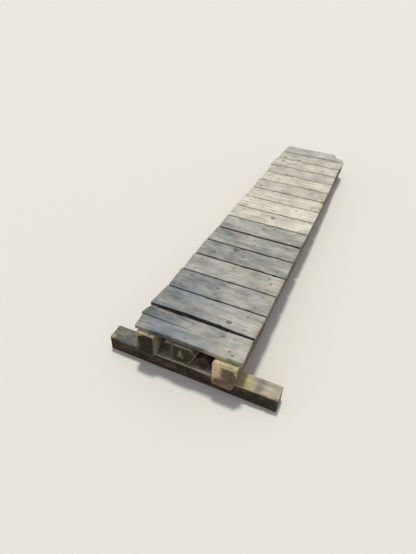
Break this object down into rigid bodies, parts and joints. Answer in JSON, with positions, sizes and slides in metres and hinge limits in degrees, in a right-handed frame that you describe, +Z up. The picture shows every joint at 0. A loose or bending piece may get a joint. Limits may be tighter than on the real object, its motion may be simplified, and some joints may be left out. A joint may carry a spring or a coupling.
{
  "type": "wooden footbridge",
  "caption": "Rustic wooden footbridge: weathered grey planks laid across rough log and timber stringers, with a squared sill under the near end.",
  "frame": {"origin": "middle of the underside of the sill, at the level the bridge rests on", "axes": "+Y along the bridge away from the sill, +X across it to the right, +Z up; the deck falls about 2 degrees towards +Y"},
  "size_m": [0.977, 3.0214, 0.2725],
  "materials": {
    "deck_board": "bare softwood weathered to silver grey, raised grain",
    "sill": "rough-sawn timber, damp, mossy and grey",
    "sawn_stringer": "rough-sawn timber, dark and damp, mossy edge",
    "hewn_stringer": "hewn log, olive brown, checked end grain",
    "pole_stringer": "round pole, dark red-brown, damp",
    "log_stringer": "peeled log, pale sapwood rim and dark heart, notched over the sill",
    "nail": "rusted flat nail heads"
  },
  "bodies": {
    "root": {"deck_board_01": "deck_board", "deck_board_02": "deck_board", "deck_board_03": "deck_board", "deck_board_04": "deck_board", "deck_board_05": "deck_board", "deck_board_06": "deck_board", "deck_board_07": "deck_board", "deck_board_08": "deck_board", "deck_board_09": "deck_board", "deck_board_10": "deck_board", "deck_board_11": "deck_board", "deck_board_12": "deck_board", "deck_board_13": "deck_board", "deck_board_14": "deck_board", "deck_board_15": "deck_board", "deck_board_16": "deck_board", "near_sill": "sill", "left_stringer": "sawn_stringer", "middle_stringer": "hewn_stringer", "pole_stringer": "pole_stringer", "right_stringer": "log_stringer"}
  },
  "joints": []
}
